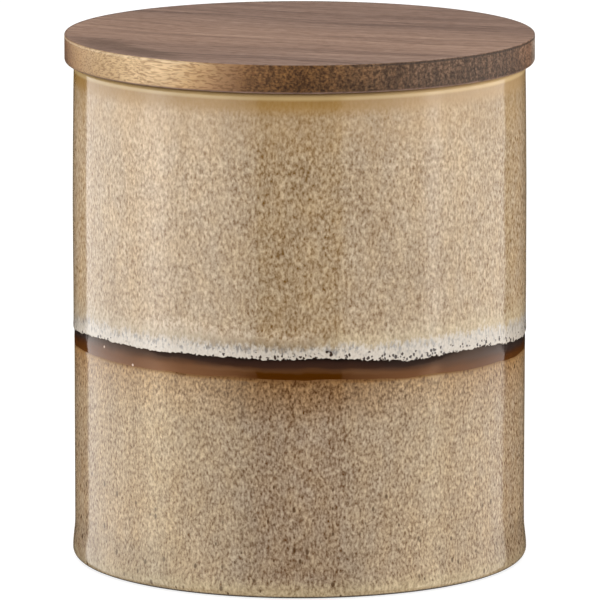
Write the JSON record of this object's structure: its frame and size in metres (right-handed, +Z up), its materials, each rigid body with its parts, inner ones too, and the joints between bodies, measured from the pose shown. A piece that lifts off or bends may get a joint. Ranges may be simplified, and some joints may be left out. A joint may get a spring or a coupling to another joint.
{
  "type": "sugar bowl",
  "caption": "Straight-sided stoneware sugar bowl in banded reactive glaze, with a flat overhanging wooden lid that lifts off on a glued plug and a silicone sealing ring.",
  "frame": {"origin": "centre of the flat foot ring that the jar stands on", "axes": "+Z up along the jar's axis; the pictured front faces -Y, with +X to its right"},
  "size_m": [0.1036, 0.1036, 0.117],
  "materials": {
    "stoneware_glaze": "glossy speckled glaze",
    "bare_clay": "matte unglazed stoneware of the foot ring",
    "lid_wood": "oiled, sanded smooth",
    "plug_wood": "oiled, sanded smooth",
    "silicone": "matte translucent white"
  },
  "bodies": {
    "jar": {"jar": "stoneware_glaze"},
    "seal": {"seal_ring": "silicone"},
    "lid": {"lid_top": "lid_wood", "lid_plug": "plug_wood"}
  },
  "joints": [
    {"name": "lid_lift", "type": "slide", "parent": "jar", "child": "seal", "axis": [0, 0, 1], "range_m": [0, 0.06]},
    {"name": "lid_turn", "type": "hinge", "parent": "seal", "child": "lid", "pos_m": [0, 0, 0.106], "axis": [0, 0, 1], "continuous": true}
  ]
}
